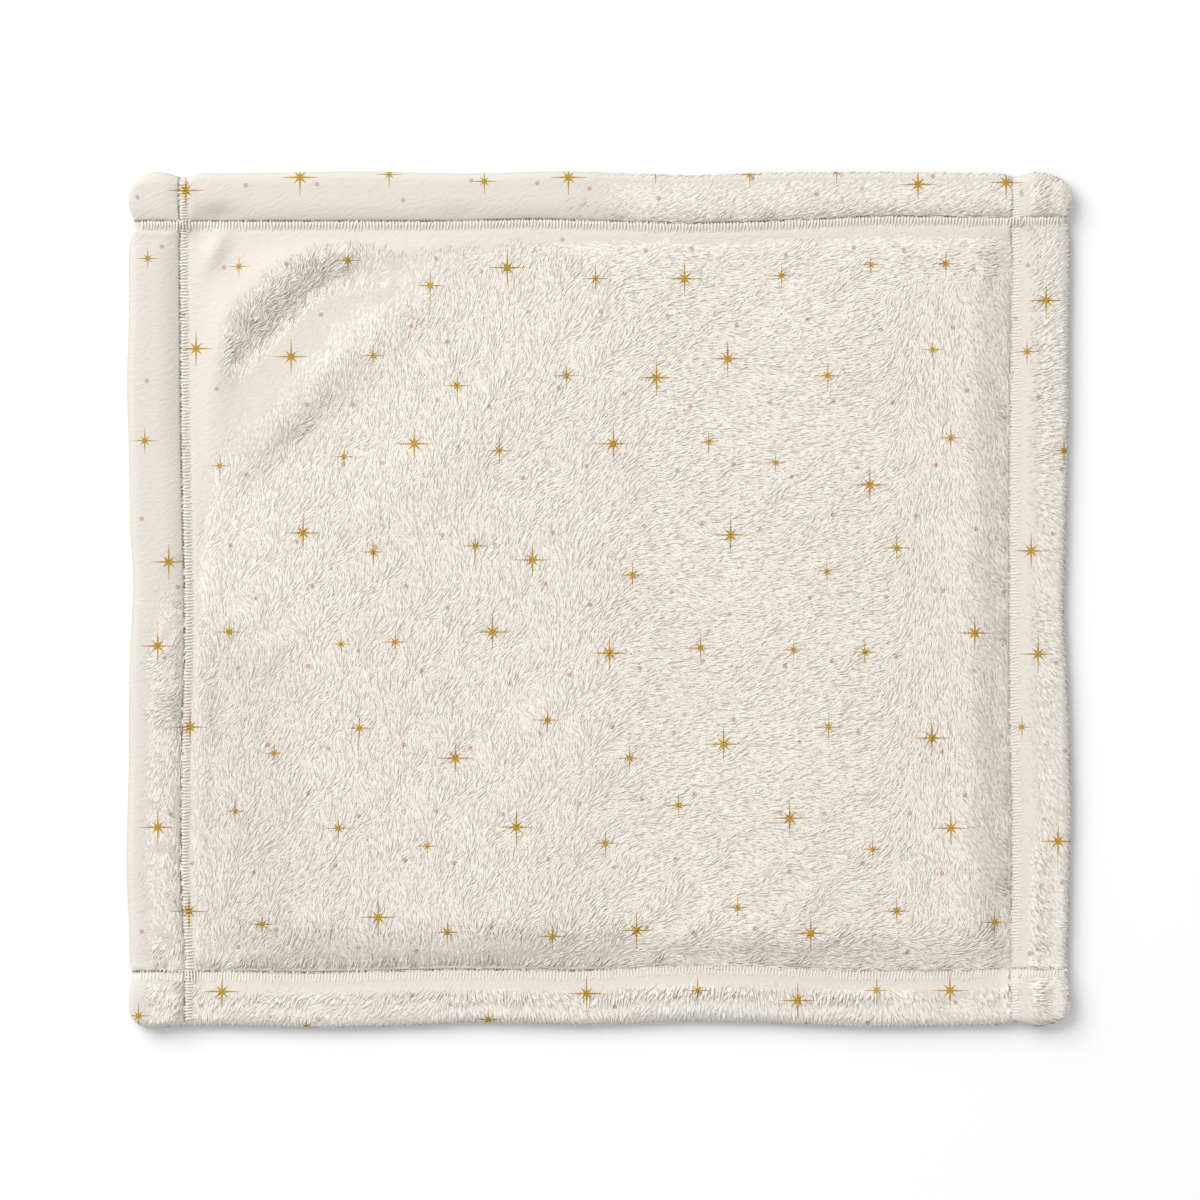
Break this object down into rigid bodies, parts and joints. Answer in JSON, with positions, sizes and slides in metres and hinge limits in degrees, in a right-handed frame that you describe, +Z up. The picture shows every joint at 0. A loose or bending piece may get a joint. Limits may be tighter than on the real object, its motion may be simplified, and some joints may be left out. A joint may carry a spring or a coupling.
{
  "type": "comfort blanket",
  "caption": "Small plush comfort blanket laid flat, with a scattered star print and turned hems held by ladder seams that cross at the corners.",
  "frame": {"origin": "under the middle of the blanket, on the surface that it lies on", "axes": "+Z up through the printed face, +X to the right and +Y to the top hem as the face is looked at, with the longer side along X"},
  "size_m": [0.44, 0.4, 0.0121],
  "materials": {
    "plush": "soft long pile, printed",
    "thread": "fluffy textured sewing thread"
  },
  "bodies": {
    "root": {"plush_panel": "plush", "needle_thread_left": "thread", "upper_looper_thread_left": "thread", "lower_looper_thread_left": "thread", "needle_thread_right": "thread", "upper_looper_thread_right": "thread", "lower_looper_thread_right": "thread", "needle_thread_bottom": "thread", "upper_looper_thread_bottom": "thread", "lower_looper_thread_bottom": "thread", "needle_thread_top": "thread", "upper_looper_thread_top": "thread", "lower_looper_thread_top": "thread"}
  },
  "joints": []
}
